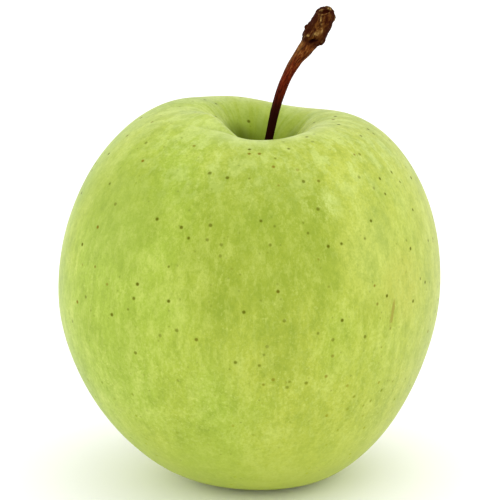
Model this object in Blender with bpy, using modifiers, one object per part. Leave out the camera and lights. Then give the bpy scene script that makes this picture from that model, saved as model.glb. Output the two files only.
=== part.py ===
"""A whole green apple, standing on the lobes of its base, with its woody stem and dried calyx.

Metres, +Z up, front towards -Y. The origin lies under the middle of the fruit, on the surface
that it stands on. The shapes are worked out about the core, then moved to that origin together.
"""

from math import atan2, cos, exp, hypot, pi, radians, sin

import bmesh
import bpy
from mathutils import Matrix, Vector
from mathutils.geometry import interpolate_bezier

MM = 0.001

# Fruit before its lobes swell it
FRUIT_RADIUS = 38.1 * MM
WIDEST_HEIGHT = 41.7 * MM
CREST_RADIUS = 15.7 * MM
CREST_HEIGHT = 75.5 * MM
CAVITY_DEPTH = 14.0 * MM
FOOT_RADIUS = 8.1 * MM
BASIN_DEPTH = 6.5 * MM

# How far each bend of the profile keeps its direction
CAVITY_FLOOR_WIDTH = 5.0 * MM
RIM_ROUND = 12.0 * MM
CREST_ROUND = 10.6 * MM
SHOULDER_FULL = 18.9 * MM
FLANK_FULL = 17.0 * MM
FOOT_ROUND = 18.1 * MM
BASIN_RIM_ROUND = 2.5 * MM
BASIN_ROOF_WIDTH = 5.0 * MM

# Five uneven lobes round the core: right, back, back left, left and front right.
# Each has its turn, how much it lifts the crest and how much it swells the flank.
LOBES = (
    (radians(22), 1.3 * MM, 3.1 * MM),
    (radians(109), 2.3 * MM, 1.0 * MM),
    (radians(157), 3.5 * MM, -0.5 * MM),
    (radians(206), 2.9 * MM, 2.9 * MM),
    (radians(329), 1.0 * MM, -0.8 * MM),
)
LOBE_SHARPNESS = 6.2
LIFT_FROM_HEIGHT = 36 * MM
LIFT_FULL_HEIGHT = 71.5 * MM
LIFT_FREE_RADIUS = 13 * MM
CORE_ASIDE = 2.4 * MM
FOOT_VALLEY = 0.25 * MM
FOOT_VALLEY_HEIGHT = 9 * MM
FLAT_OF_FOOT = 0.12 * MM

# Narrow folds that run down the cavity's wall: the turn, the depth and the lean of each
FOLDS = (
    (radians(37), 0.90 * MM, 0.0),
    (radians(98), 0.35 * MM, 0.0),
    (radians(150), 0.55 * MM, radians(8) / MM),
    (radians(206), 0.60 * MM, 0.0),
    (radians(262), 0.60 * MM, 0.0),
    (radians(322), 0.45 * MM, 0.0),
)
FOLD_SHARPNESS = 50
FOLD_RADIUS = 8.2 * MM
FOLD_SPREAD = 3.4 * MM

# A swelling of the cavity's left lip
LIP_TURN = radians(214)
LIP_SHARPNESS = 18
LIP_HEIGHT = 1.6 * MM
LIP_RADIUS = 10.5 * MM
LIP_SPREAD = 4.0 * MM

# Woody stem: places on its middle line with the radius there, in millimetres, from its foot up
STEM_ROUTE = (
    (2.5, 0.0, 62.3, 1.15), (2.9, 0.0, 65.5, 0.95), (3.8, 0.0, 72.0, 0.86), (5.3, -0.1, 79.0, 0.92),
    (7.1, -0.2, 84.4, 1.02), (9.3, -0.2, 88.6, 1.24), (11.4, -0.1, 91.4, 1.58), (12.9, 0.0, 93.7, 2.05),
)
HEAD_FOOT = Vector((12.2, 0.0, 92.2)) * MM
HEAD_TIP = Vector((16.2, 0.0, 100.0)) * MM
HEAD_RADIUS = 2.3 * MM
HEAD_WAIST = 2.2 * MM
HEAD_BENDS = (0.72, 0.48, 0.20)
HEAD_FLATTENED = 0.92
SCAR_WIDTH = 2.3 * MM
SCAR_LENGTH = 1.8 * MM
SCAR_DEPTH = 0.6 * MM
SCAR_ALONG = 0.83
BUD_SUNK = 0.62

# Buds round the head's foot: the turn from the front towards the right, the share along it and the radius
BUDS = (
    (radians(-83), 0.32, 0.80 * MM),
    (radians(76), 0.18, 0.95 * MM),
    (radians(171), 0.20, 0.80 * MM),
)

# Dried calyx: five sepals on a short cup under the roof of the basin
CALYX_TOP = 5.6 * MM
CALYX_PROFILE = ((1.5, 0.0), (2.5, -0.6), (3.1, -1.8), (2.9, -3.2), (2.1, -4.4))
SEPAL_COUNT = 5
SEPAL_VALLEY = 0.30
SEPAL_POINT = 1.2
SEPAL_THICKNESS = 0.45 * MM

# Faces round and along
FRUIT_SIDES = 60
SPAN_STEPS = (9, 13, 14, 8)
STEM_SIDES = 2
STEM_STEPS = 4
HEAD_SIDES = 20
HEAD_STEPS = 5
BALL_SIDES = 12
CALYX_SIDES = 40
CALYX_RINGS = 9

SKIN_GREEN = (0.42, 0.55, 0.075, 1.0)
STEM_BROWN = (0.075, 0.022, 0.012, 1.0)
CALYX_BROWN = (0.13, 0.085, 0.045, 1.0)


def clear_scene():
    for obj in list(bpy.data.objects):
        bpy.data.objects.remove(obj, do_unlink=True)


def new_collection(name):
    collection = bpy.data.collections.new(name)
    bpy.context.scene.collection.children.link(collection)
    return collection


def finish_material(name, colour, roughness):
    material = bpy.data.materials.new(name)
    material.use_nodes = True
    shader = material.node_tree.nodes["Principled BSDF"]
    shader.inputs["Base Color"].default_value = colour
    shader.inputs["Roughness"].default_value = roughness
    shader.inputs["Metallic"].default_value = 0.0
    return material


def ease(share):
    """A smooth step from 0 to 1."""
    share = min(max(share, 0.0), 1.0)
    return share * share * (3 - 2 * share)


def fruit_profile():
    """The half outline from the cavity's floor, over the crest and down the flank, to the basin's roof."""
    floor = CREST_HEIGHT - CAVITY_DEPTH
    knots = (
        ((0, floor), (CAVITY_FLOOR_WIDTH, floor), (CREST_RADIUS - RIM_ROUND, CREST_HEIGHT),
         (CREST_RADIUS, CREST_HEIGHT)),
        ((CREST_RADIUS, CREST_HEIGHT), (CREST_RADIUS + CREST_ROUND, CREST_HEIGHT),
         (FRUIT_RADIUS, WIDEST_HEIGHT + SHOULDER_FULL), (FRUIT_RADIUS, WIDEST_HEIGHT)),
        ((FRUIT_RADIUS, WIDEST_HEIGHT), (FRUIT_RADIUS, WIDEST_HEIGHT - FLANK_FULL),
         (FOOT_RADIUS + FOOT_ROUND, 0), (FOOT_RADIUS, 0)),
        ((FOOT_RADIUS, 0), (FOOT_RADIUS - BASIN_RIM_ROUND, 0), (BASIN_ROOF_WIDTH, BASIN_DEPTH),
         (0, BASIN_DEPTH)),
    )
    points = []
    for span, steps in zip(knots, SPAN_STEPS):
        start, leave, arrive, end = (Vector((radius, 0, height)) for radius, height in span)
        points += interpolate_bezier(start, leave, arrive, end, steps + 1)[:-1]
    return points + [Vector((0, 0, BASIN_DEPTH))]


def across_lobes(turn):
    """The lift and the swell at this turn about the core, and how much of a valley is there."""
    lift, swell, cover = 0.0, 0.0, 0.0
    for lobe_turn, lobe_lift, lobe_swell in LOBES:
        share = exp(LOBE_SHARPNESS * (cos(turn - lobe_turn) - 1))
        lift += lobe_lift * share
        swell += lobe_swell * share
        cover += share
    return lift, swell, max(1 - cover, 0.0)


def folds_at(turn, radius):
    """How deep the cavity's folds are here."""
    depth = 0.0
    for fold_turn, fold_depth, lean in FOLDS:
        middle = fold_turn + lean * (radius - FOLD_RADIUS)
        depth += fold_depth * exp(FOLD_SHARPNESS * (cos(turn - middle) - 1))
    return depth


def grown(point):
    """Where a point of the evenly turned fruit lies once the lobes have grown unevenly."""
    radius, turn, height = hypot(point.x, point.y), atan2(point.y, point.x), point.z
    outward = min(radius / FRUIT_RADIUS, 1.0) ** 2
    high = ease((height - LIFT_FROM_HEIGHT) / (LIFT_FULL_HEIGHT - LIFT_FROM_HEIGHT))
    lobe_lift, lobe_swell, valley = across_lobes(turn)
    swollen = radius + lobe_swell * outward
    aside = CORE_ASIDE * (1 - outward)
    lift = lobe_lift * high * ease(radius / LIFT_FREE_RADIUS)
    low = 1 - ease(height / FOOT_VALLEY_HEIGHT)
    foot = FOOT_VALLEY * valley * low * ease(radius / FOOT_RADIUS)
    fold = folds_at(turn, radius) * high * exp(-(((radius - FOLD_RADIUS) / FOLD_SPREAD) ** 2))
    lip = LIP_HEIGHT * exp(LIP_SHARPNESS * (cos(turn - LIP_TURN) - 1))
    lift += lip * high * exp(-(((radius - LIP_RADIUS) / LIP_SPREAD) ** 2))
    return Vector((aside + swollen * cos(turn), swollen * sin(turn), height + lift + foot - fold))


def turned_mesh(name, points, sides):
    """A closed mesh turned about Z from a half outline that starts and ends on the axis."""
    outline = bpy.data.meshes.new(name + "_outline")
    edges = [(index, index + 1) for index in range(len(points) - 1)]
    outline.from_pydata([tuple(point) for point in points], edges, [])
    helper = bpy.data.objects.new(name + "_outline", outline)
    bpy.context.scene.collection.objects.link(helper)
    screw = helper.modifiers.new("turn", "SCREW")
    screw.axis = "Z"
    screw.steps = screw.render_steps = sides
    screw.use_merge_vertices = True
    screw.merge_threshold = 0.01 * MM
    bpy.context.view_layer.update()
    evaluated = helper.evaluated_get(bpy.context.evaluated_depsgraph_get())
    mesh = bpy.data.meshes.new_from_object(evaluated)
    bpy.data.objects.remove(helper, do_unlink=True)
    mesh.name = name
    return mesh


def make_fruit(collection, cutters, skin):
    """The fruit, cut level where its feet stand."""
    mesh = turned_mesh("fruit", fruit_profile(), FRUIT_SIDES)
    for vertex in mesh.vertices:
        vertex.co = grown(vertex.co)
    lowest = min(vertex.co.z for vertex in mesh.vertices)
    mesh.transform(Matrix.Translation((0, 0, -lowest - FLAT_OF_FOOT)))
    shade_round(mesh, radians(50))
    mesh.materials.append(skin)
    fruit = bpy.data.objects.new("fruit", mesh)
    collection.objects.link(fruit)
    bm = bmesh.new()
    bmesh.ops.create_cube(bm, size=3 * FRUIT_RADIUS)
    block = bpy.data.meshes.new("level_cut")
    bm.to_mesh(block)
    bm.free()
    cut = helper_piece(cutters, "level_cut", block, Matrix.Translation((0, 0, -1.5 * FRUIT_RADIUS)))
    add_boolean(fruit, cut, "DIFFERENCE")
    return fruit


def shade_round(mesh, sharpest):
    mesh.shade_smooth()
    mesh.set_sharp_from_angle(angle=sharpest)


def stem_tube(collection):
    """The shank of the stem, as a closed mesh."""
    curve = bpy.data.curves.new("stem_route", "CURVE")
    curve.dimensions = "3D"
    curve.bevel_depth = 1.0 * MM
    curve.bevel_resolution = STEM_SIDES
    curve.resolution_u = STEM_STEPS
    curve.use_fill_caps = True
    spline = curve.splines.new("BEZIER")
    spline.bezier_points.add(len(STEM_ROUTE) - 1)
    for knot, (x, y, z, radius) in zip(spline.bezier_points, STEM_ROUTE):
        knot.co = Vector((x, y, z)) * MM
        knot.radius = radius
        knot.handle_left_type = knot.handle_right_type = "AUTO"
    route = bpy.data.objects.new("stem_route", curve)
    bpy.context.scene.collection.objects.link(route)
    bpy.context.view_layer.update()
    mesh = bpy.data.meshes.new_from_object(route.evaluated_get(bpy.context.evaluated_depsgraph_get()))
    bpy.data.objects.remove(route, do_unlink=True)
    welded = bmesh.new()
    welded.from_mesh(mesh)
    bmesh.ops.remove_doubles(welded, verts=welded.verts, dist=0.01 * MM)
    bmesh.ops.recalc_face_normals(welded, faces=welded.faces)
    welded.to_mesh(mesh)
    welded.free()
    mesh.name = "stem"
    stem = bpy.data.objects.new("stem", mesh)
    collection.objects.link(stem)
    return stem


def head_profile():
    """The half outline of the stem's head, from its rounded tip down to its foot."""
    length = (HEAD_TIP - HEAD_FOOT).length
    top, waist, collar = (share * length for share in HEAD_BENDS)
    tip, foot = length, 0.0
    spans = (
        ((0, tip), (0.6 * HEAD_RADIUS, tip), (HEAD_RADIUS, top + 0.14 * length), (HEAD_RADIUS, top)),
        ((HEAD_RADIUS, top), (HEAD_RADIUS, waist), (HEAD_WAIST, waist), (HEAD_RADIUS, collar)),
        ((HEAD_RADIUS, collar), (HEAD_RADIUS, 0.1 * length), (0.8 * HEAD_RADIUS, foot), (0, foot)),
    )
    points = []
    for span in spans:
        start, leave, arrive, end = (Vector((radius, 0, height)) for radius, height in span)
        points += interpolate_bezier(start, leave, arrive, end, HEAD_STEPS + 1)[:-1]
    return points + [Vector((0, 0, foot))]


def helper_piece(collection, name, mesh, place):
    """A helper that a Boolean joins to the stem or cuts from it."""
    mesh.transform(place)
    piece = bpy.data.objects.new(name, mesh)
    piece.hide_render = True
    piece.display_type = "WIRE"
    collection.objects.link(piece)
    return piece


def ball(name, width, depth, length):
    """The mesh of an ellipsoid with those full sizes, its length along Z."""
    bm = bmesh.new()
    bmesh.ops.create_uvsphere(bm, u_segments=BALL_SIDES, v_segments=BALL_SIDES // 2, radius=0.5)
    bmesh.ops.scale(bm, vec=(width, depth, length), verts=bm.verts)
    mesh = bpy.data.meshes.new(name)
    bm.to_mesh(mesh)
    bm.free()
    return mesh


def head_place():
    """The matrix from the head's own axes, its foot at the origin and its front at -Y, to its place."""
    ahead = (HEAD_TIP - HEAD_FOOT).normalized()
    across = Vector((0, 1, 0)).cross(ahead).normalized()
    back = ahead.cross(across)
    return Matrix.Translation(HEAD_FOOT) @ Matrix((across, back, ahead)).transposed().to_4x4()


def make_stem(collection, cutters, wood):
    """The shank with its head and buds, and a hollow scar in the head's front."""
    stem = stem_tube(collection)
    length = (HEAD_TIP - HEAD_FOOT).length
    on_head = head_place()
    flattened = Matrix.Diagonal((1, HEAD_FLATTENED, 1, 1))
    head = turned_mesh("stem_head", head_profile(), HEAD_SIDES)
    joined = [helper_piece(cutters, "stem_head", head, on_head @ flattened)]
    for index, (turn, share, radius) in enumerate(BUDS):
        reach = HEAD_RADIUS - BUD_SUNK * radius
        place = Vector((sin(turn) * reach, -cos(turn) * reach * HEAD_FLATTENED, share * length))
        name = f"stem_bud_{index + 1}"
        bud = ball(name, 2 * radius, 2 * radius, 2 * radius)
        joined.append(helper_piece(cutters, name, bud, on_head @ Matrix.Translation(place)))
    for piece in joined:
        add_boolean(stem, piece, "UNION")
    scar = ball("stem_scar", SCAR_WIDTH, 2 * SCAR_DEPTH, SCAR_LENGTH)
    scar_place = Vector((0, -HEAD_RADIUS * HEAD_FLATTENED, SCAR_ALONG * length))
    hollow = helper_piece(cutters, "stem_scar", scar, on_head @ Matrix.Translation(scar_place))
    add_boolean(stem, hollow, "DIFFERENCE")
    shade_round(stem.data, radians(40))
    stem.data.materials.append(wood)
    return stem


def add_boolean(target, piece, operation):
    modifier = target.modifiers.new(piece.name, "BOOLEAN")
    modifier.operation = operation
    modifier.solver = "EXACT"
    modifier.object = piece


def calyx_point(share):
    """The radius and height at a share of the way from the cup's root to a sepal's tip."""
    place = share * (len(CALYX_PROFILE) - 1)
    index = min(int(place), len(CALYX_PROFILE) - 2)
    (radius_a, height_a), (radius_b, height_b) = CALYX_PROFILE[index:index + 2]
    part = place - index
    return (radius_a + (radius_b - radius_a) * part) * MM, (height_a + (height_b - height_a) * part) * MM


def make_calyx(collection, dry):
    """Five pointed sepals cut out of one turned cup by how far down each side reaches."""
    bm = bmesh.new()
    rings = []
    for ring in range(CALYX_RINGS + 1):
        verts = []
        for side in range(CALYX_SIDES):
            turn = 2 * pi * side / CALYX_SIDES
            on_sepal = (1 + cos(SEPAL_COUNT * turn)) / 2
            reach = SEPAL_VALLEY + (1 - SEPAL_VALLEY) * on_sepal ** SEPAL_POINT
            radius, drop = calyx_point(ring / CALYX_RINGS * reach)
            place = Vector((CORE_ASIDE + radius * cos(turn), radius * sin(turn), CALYX_TOP + drop))
            verts.append(bm.verts.new(place))
        rings.append(verts)
    for upper, lower in zip(rings, rings[1:]):
        for side in range(CALYX_SIDES):
            after = (side + 1) % CALYX_SIDES
            bm.faces.new((upper[side], upper[after], lower[after], lower[side]))
    bmesh.ops.recalc_face_normals(bm, faces=bm.faces)
    mesh = bpy.data.meshes.new("calyx")
    bm.to_mesh(mesh)
    bm.free()
    mesh.materials.append(dry)
    calyx = bpy.data.objects.new("calyx", mesh)
    collection.objects.link(calyx)
    wall = calyx.modifiers.new("wall", "SOLIDIFY")
    wall.thickness = SEPAL_THICKNESS
    wall.offset = 0.0
    wall.use_even_offset = True
    return calyx


def stand_on_origin(fruit, others):
    """Moves the pieces together, so that the origin lies under the middle of the fruit's box."""
    xs = [vertex.co.x for vertex in fruit.data.vertices]
    ys = [vertex.co.y for vertex in fruit.data.vertices]
    base = bpy.data.objects.new("apple", None)
    bpy.context.scene.collection.objects.link(base)
    base.location = (-(min(xs) + max(xs)) / 2, -(min(ys) + max(ys)) / 2, 0)
    for piece in (fruit, *others):
        piece.parent = base
    return base


def main():
    clear_scene()
    apple = new_collection("green_apple")
    cutters = new_collection("shaping_pieces")
    cutters.hide_render = True
    fruit = make_fruit(apple, cutters, finish_material("apple_skin", SKIN_GREEN, 0.38))
    stem = make_stem(apple, cutters, finish_material("stem_wood", STEM_BROWN, 0.55))
    calyx = make_calyx(apple, finish_material("dried_calyx", CALYX_BROWN, 0.85))
    stand_on_origin(fruit, (stem, calyx, *cutters.objects))


main()
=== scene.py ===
from math import atan2, cos, exp, hypot, pi, radians, sin

import bmesh
import bpy
from mathutils import Matrix, Vector, kdtree, noise
from mathutils.geometry import interpolate_bezier


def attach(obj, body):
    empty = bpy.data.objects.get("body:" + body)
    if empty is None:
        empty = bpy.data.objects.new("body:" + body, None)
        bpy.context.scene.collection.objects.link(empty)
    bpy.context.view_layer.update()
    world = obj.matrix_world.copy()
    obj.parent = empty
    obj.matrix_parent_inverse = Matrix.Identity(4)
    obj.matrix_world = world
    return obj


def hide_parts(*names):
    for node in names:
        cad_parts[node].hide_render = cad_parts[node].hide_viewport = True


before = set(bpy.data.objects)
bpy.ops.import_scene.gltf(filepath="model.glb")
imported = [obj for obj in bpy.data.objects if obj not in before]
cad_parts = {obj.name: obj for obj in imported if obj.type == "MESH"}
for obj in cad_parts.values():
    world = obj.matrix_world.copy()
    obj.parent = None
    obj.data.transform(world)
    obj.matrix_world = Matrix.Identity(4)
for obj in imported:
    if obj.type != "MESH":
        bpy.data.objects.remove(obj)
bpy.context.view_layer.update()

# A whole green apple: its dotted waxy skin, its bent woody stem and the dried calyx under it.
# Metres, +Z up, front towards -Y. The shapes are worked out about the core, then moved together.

MM = 0.001

# Fruit before its lobes swell it, as in the solid
FRUIT_RADIUS = 38.1 * MM
WIDEST_HEIGHT = 41.7 * MM
CREST_RADIUS = 15.7 * MM
CREST_HEIGHT = 75.5 * MM
CAVITY_DEPTH = 14.0 * MM
FOOT_RADIUS = 8.1 * MM
BASIN_DEPTH = 6.5 * MM
CAVITY_FLOOR_WIDTH = 5.0 * MM
RIM_ROUND = 12.0 * MM
CREST_ROUND = 10.6 * MM
SHOULDER_FULL = 18.9 * MM
FLANK_FULL = 17.0 * MM
FOOT_ROUND = 18.1 * MM
BASIN_RIM_ROUND = 2.5 * MM
BASIN_ROOF_WIDTH = 5.0 * MM

# Five uneven lobes: the turn of each about the core, its lift of the crest and its swell of the flank
LOBES = (
    (radians(22), 1.3 * MM, 3.1 * MM),
    (radians(109), 2.3 * MM, 1.0 * MM),
    (radians(157), 3.5 * MM, -0.5 * MM),
    (radians(206), 2.9 * MM, 2.9 * MM),
    (radians(329), 1.0 * MM, -0.8 * MM),
)
LOBE_SHARPNESS = 6.2
LIFT_FROM_HEIGHT = 36 * MM
LIFT_FULL_HEIGHT = 71.5 * MM
LIFT_FREE_RADIUS = 13 * MM
CORE_ASIDE = 2.4 * MM
FOOT_VALLEY = 0.25 * MM
FOOT_VALLEY_HEIGHT = 9 * MM
FLAT_OF_FOOT = 0.12 * MM

# Folds of the cavity's wall: the turn, the depth and the lean of each
FOLDS = (
    (radians(37), 0.90 * MM, 0.0),
    (radians(98), 0.35 * MM, 0.0),
    (radians(150), 0.55 * MM, radians(8) / MM),
    (radians(206), 0.60 * MM, 0.0),
    (radians(262), 0.60 * MM, 0.0),
    (radians(322), 0.45 * MM, 0.0),
)
FOLD_SHARPNESS = 50
FOLD_RADIUS = 8.2 * MM
FOLD_SPREAD = 3.4 * MM

# Finer pleats between the folds
PLEAT_DEPTH = 0.22 * MM
PLEAT_RATE = 5.0
PLEAT_LEVEL = 0.5

# A swelling of the cavity's left lip
LIP_TURN = radians(214)
LIP_SHARPNESS = 18
LIP_HEIGHT = 1.6 * MM
LIP_RADIUS = 10.5 * MM
LIP_SPREAD = 4.0 * MM

# Narrow grooves in the left lip and down both walls: X and Y about the core in millimetres, and the share
# of the full depth there
GROOVES = (
    ((-13.8, -10.8, 0.0), (-10.8, -11.2, 0.8), (-7.2, -10.6, 1.0), (-5.0, -10.8, 0.7), (-2.2, -10.6, 0.0)),
    ((9.6, 6.3, 0.0), (8.4, 5.4, 0.8), (7.3, 4.6, 1.0), (5.7, 3.5, 0.9), (4.6, 2.8, 0.0)),
    ((-8.2, 7.6, 0.0), (-6.8, 6.3, 0.8), (-4.9, 4.4, 1.0), (-4.0, 3.6, 0.7), (-3.0, 2.6, 0.0)),
)
GROOVE_WIDTH = 0.8 * MM
GROOVE_DEPTH = 0.58 * MM

# Where painted shade darkens the wall's creases, and how much of it a groove takes
CREASE_RADIUS = 6.3 * MM
CREASE_SPREAD = 3.8 * MM
GROOVE_SHADE = 0.45

# Skin: how fine its mesh is, how uneven it has grown, and how far it lies inside the solid's outline
SKIN_SIDES = 330
SKIN_STEPS = (56, 78, 104, 54)
MERGE_DISTANCE = 0.002 * MM
SKIN_INSET = 0.05 * MM
UNEVEN = 0.14 * MM
UNEVEN_WIDTH = 13 * MM

# Stem: places on its middle line with the radius there, in millimetres, then its knobbly head
STEM_ROUTE = (
    (2.5, 0.0, 62.3, 1.15), (2.9, 0.0, 65.5, 0.95), (3.8, 0.0, 72.0, 0.86), (5.3, -0.1, 79.0, 0.92),
    (7.1, -0.2, 84.4, 1.02), (9.3, -0.2, 88.6, 1.24), (11.4, -0.1, 91.4, 1.58), (12.9, 0.0, 93.7, 2.05),
)
ROUTE_STEPS = 16
SLOPE_PART = 6
SHANK_SIDES = 28
HEAD_FOOT = Vector((12.2, 0.0, 92.2)) * MM
HEAD_TIP = Vector((16.2, 0.0, 100.0)) * MM
HEAD_LENGTH = (HEAD_TIP - HEAD_FOOT).length
HEAD_RADIUS = 2.3 * MM
HEAD_WAIST = 2.2 * MM
HEAD_FLATTENED = 0.92
HEAD_SIDES = 48
HEAD_STEPS = 14
HEAD_MARKS = 40

# The head's half outline, as shares of its length and of its radius
TOP_ALONG = 0.72
WAIST_ALONG = 0.48
BULGE_ALONG = 0.2
TIP_FULL = 0.6
TOP_ROUND = 0.14
FOOT_ALONG = 0.1
FOOT_FULL = 0.8

# Buds round the head's foot: the turn from the front towards the right, the share along it and the radius
BUDS = (
    (radians(-83), 0.32, 0.80 * MM),
    (radians(76), 0.18, 0.95 * MM),
    (radians(171), 0.20, 0.80 * MM),
)
BUD_SUNK = 0.62
STEM_GRAIN = 0.09 * MM
SMOOTHINGS = 3

# Fibres and pits along the shank, and how much of them the head loses
FIBRE_DEPTH = 0.07 * MM
FIBRE_RATE = 3.2
FIBRE_LENGTH = 7 * MM
FIBRE_NOISE = (0.9, 2.0, 3)
PIT_WIDTH = 0.55 * MM
PIT_STRETCH = 0.5
PIT_SHARE = 0.35
FIBRE_LOST = 0.5

# Bark of the head: rough ridges, wider lumps and broken edges
KNOT_DEPTH = 0.19 * MM
BARK_WIDTH = 0.75 * MM
BARK_STRETCH = 0.45
BARK_NOISE = (0.75, 2.1, 4)
LUMP_WIDTH = 1.9 * MM
BREAK_WIDTH = 0.6 * MM
HEAD_FROM = -0.08
HEAD_FADE = 0.14
TIP_TRIM = 0.20 * MM
TIP_TRIM_FROM = 0.75

# Hollow scar near the head's tip. Along is a share of the head's length, a turn is from its front towards
# the right, and a lean is how much further along a form lies for each radian of turn.
SCAR_ALONG = 0.87
SCAR_TURN = radians(-15)
SCAR_LEAN = 0.16
SCAR_HALF_LENGTH = 0.058
SCAR_HALF_TURN = 0.52
SCAR_REACH = 1.2
SCAR_FADE = 0.5
SCAR_DEPTH = 0.55 * MM
SCAR_SMOOTH = 0.6
RIM_REACH = 1.35
RIM_WIDTH = 0.26
RIM_HEIGHT = 0.14 * MM

# Narrow spine down the front of the head, which drifts round it
SPINE_ALONG = 0.42
SPINE_TURN = radians(17)
SPINE_LEAN = radians(-125)
SPINE_HALF_TURN = 0.13
SPINE_FROM = 0.34
SPINE_TO = 0.86
SPINE_FADE = 0.1
SPINE_HEIGHT = 0.22 * MM

# Rounded forms of the head: the turn and half turn, the place along and half length, and the lean of each
CLEFT = (radians(6), 0.5, 0.12, 0.062, 0.125)
CLEFT_DEPTH = 0.85 * MM
COLLAR = (radians(-15), 0.85, 0.28, 0.075, 0.20)
COLLAR_HEIGHT = 0.20 * MM
LEFT_KNOB = (-pi / 2, 0.5, 0.325, 0.055, 0.0)
LEFT_KNOB_HEIGHT = 0.32 * MM
RIGHT_KNOB = (radians(52), 0.28, 0.20, 0.05, 0.0)
# Painted highlight along the head's upper right edge and over its tip
HIGHLIT_EDGE = (radians(75), 0.4, 0.80, 0.12, 0.0)
HIGHLIT_TIP_FROM = 0.93
HIGHLIT_TIP_FADE = 0.05

# The head's left side is shaved above its knob
SHAVED_DEPTH = 0.30 * MM
SHAVED_HALF_TURN = 0.6
SHAVED_FROM = 0.42
SHAVED_FADE = 0.08

# How worn, and so how tan, each form of the head is; the tan along its right edge and over its tip is a
# painted highlight, and the cleft's share pushes it into painted shade
RIM_WORN = 0.7
SPINE_WORN = 0.9
COLLAR_WORN = 1.1
HIGHLIT_TAN = 0.6
KNOB_WORN = 0.7
BARK_WORN = 0.3
# How strongly painted shade, near black, fills the cleft
CLEFT_SHADE_WEIGHT = 2.5

# Dried calyx under the basin's roof
CALYX_TOP = 5.6 * MM
SEPAL_COUNT = 5
SEPAL_WIDTH = 3.0 * MM
SEPAL_THICKNESS = 0.22 * MM
SEPAL_PATH = ((0.7, -0.3), (2.2, -0.3), (3.0, -2.0), (2.2, -4.1))
SEPAL_ROWS = 18
SEPAL_COLUMNS = 6
SEPAL_TAPER = 0.55
SEPAL_NECK = 0.62
SEPAL_SHOULDER = 1.6
SEPAL_RIPPLE = 0.28 * MM
SEPAL_CUPPED = 0.30 * MM
SEPAL_ASTRAY = 0.12
STAMEN_COUNT = 14
STAMEN_LENGTH = 2.6 * MM
STAMEN_SIDES = 7
STAMEN_FOOT = 0.14 * MM
STAMEN_END = 0.08 * MM
STAMEN_KNOB = 0.2 * MM
CUP_SIDES = 30
CUP_LOW = 1.0 * MM
CUP_HIGH = 1.5 * MM
CUP_DEPTH = 0.6 * MM

# Camera and light
CAMERA_RISE = radians(15)
CAMERA_REACH = 0.577
CAMERA_LENS = 200
AIM_HEIGHT = 48.75 * MM
CAMERA_SEES = (0.01, 20)
FLOOR_RADIUS = 4.0
FLOOR_SIDES = 64
ROOM_LIGHT = 1.16

# Soft boxes: the place and the power of each
SOFT_BOXES = {
    "left_box": ((-1.1, -0.1, 0.35), 3.0),
    "right_box": ((1.1, 0.0, 0.55), 2.2),
    "top_box": ((0.2, -0.1, 1.3), 2.4),
}
SOFT_BOX_WIDTH = 0.9


def ease(share):
    """A smooth step from 0 to 1."""
    share = min(max(share, 0.0), 1.0)
    return share * share * (3 - 2 * share)


def hill(value, middle, spread):
    """A rounded hill, 1 high at its middle."""
    return exp(-(((value - middle) / spread) ** 2))


def smooth_run(spans, steps):
    """Points along Bezier spans of (radius, height), each span with its own number of steps."""
    points = []
    for span, count in zip(spans, steps):
        start, leave, arrive, end = (Vector((radius, 0, height)) for radius, height in span)
        points += interpolate_bezier(start, leave, arrive, end, count + 1)[:-1]
    last_radius, last_height = spans[-1][-1]
    return points + [Vector((last_radius, 0, last_height))]


def spun(points, sides):
    """A closed bmesh turned about Z from a half outline that starts and ends on the axis."""
    bm = bmesh.new()
    verts = [bm.verts.new(point) for point in points]
    edges = [bm.edges.new(pair) for pair in zip(verts, verts[1:])]
    bmesh.ops.spin(bm, geom=verts + edges, cent=(0, 0, 0), axis=(0, 0, 1), angle=2 * pi, steps=sides,
                   use_merge=True)
    bmesh.ops.remove_doubles(bm, verts=bm.verts, dist=MERGE_DISTANCE)
    bmesh.ops.recalc_face_normals(bm, faces=bm.faces)
    return bm


def finished_piece(name, bm, material):
    """A shown object made of this bmesh, smooth, with its place in its mesh."""
    mesh = bpy.data.meshes.new(name)
    bm.to_mesh(mesh)
    bm.free()
    mesh.shade_smooth()
    mesh.materials.append(material)
    piece = bpy.data.objects.new(name, mesh)
    bpy.context.scene.collection.objects.link(piece)
    return piece


# Fruit

def fruit_profile():
    """The half outline from the cavity's floor, over the crest and down the flank, to the basin's roof."""
    floor = CREST_HEIGHT - CAVITY_DEPTH
    spans = (
        ((0, floor), (CAVITY_FLOOR_WIDTH, floor), (CREST_RADIUS - RIM_ROUND, CREST_HEIGHT),
         (CREST_RADIUS, CREST_HEIGHT)),
        ((CREST_RADIUS, CREST_HEIGHT), (CREST_RADIUS + CREST_ROUND, CREST_HEIGHT),
         (FRUIT_RADIUS, WIDEST_HEIGHT + SHOULDER_FULL), (FRUIT_RADIUS, WIDEST_HEIGHT)),
        ((FRUIT_RADIUS, WIDEST_HEIGHT), (FRUIT_RADIUS, WIDEST_HEIGHT - FLANK_FULL),
         (FOOT_RADIUS + FOOT_ROUND, 0), (FOOT_RADIUS, 0)),
        ((FOOT_RADIUS, 0), (FOOT_RADIUS - BASIN_RIM_ROUND, 0), (BASIN_ROOF_WIDTH, BASIN_DEPTH),
         (0, BASIN_DEPTH)),
    )
    return smooth_run(spans, SKIN_STEPS)


def across_lobes(turn):
    """The lift and the swell at this turn about the core, and how much of a valley is there."""
    lift, swell, cover = 0.0, 0.0, 0.0
    for lobe_turn, lobe_lift, lobe_swell in LOBES:
        share = exp(LOBE_SHARPNESS * (cos(turn - lobe_turn) - 1))
        lift += lobe_lift * share
        swell += lobe_swell * share
        cover += share
    return lift, swell, max(1 - cover, 0.0)


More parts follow.
